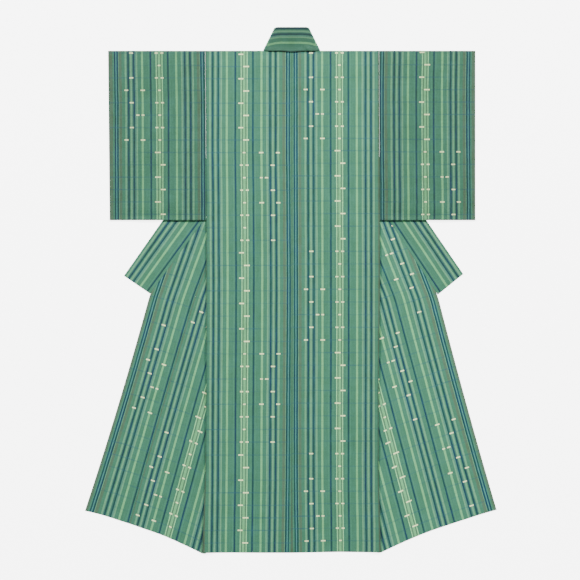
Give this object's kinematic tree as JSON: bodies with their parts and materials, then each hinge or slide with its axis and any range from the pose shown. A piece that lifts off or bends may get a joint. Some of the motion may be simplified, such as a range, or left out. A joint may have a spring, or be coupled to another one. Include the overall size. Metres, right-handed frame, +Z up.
{
  "type": "kimono",
  "caption": "Striped straight-sleeved kimono laid flat, back upwards, with both fronts opened out to the sides and the collar showing at the neck and beside the fronts.",
  "frame": {"origin": "middle of the footprint, on the surface that the garment lies on", "axes": "+X to the garment's right as seen from above, +Y from the hem towards the collar, +Z up out of the cloth"},
  "size_m": [1.359, 1.7385, 0.0063],
  "materials": {
    "woven_stripe": "plain-woven green cloth with lengthwise stripes and small pale weft marks, matt",
    "collar_stripe": "the same striped cloth, cut lengthwise for the collar, matt"
  },
  "bodies": {
    "root": {"back_left": "woven_stripe", "back_right": "woven_stripe", "sleeve_left": "woven_stripe", "sleeve_right": "woven_stripe", "front_left": "woven_stripe", "front_right": "woven_stripe", "shoulder_left": "woven_stripe", "shoulder_right": "woven_stripe", "okumi_left": "woven_stripe", "okumi_right": "woven_stripe", "collar_left": "collar_stripe", "collar_right": "collar_stripe", "collar_neck": "collar_stripe"}
  },
  "joints": []
}
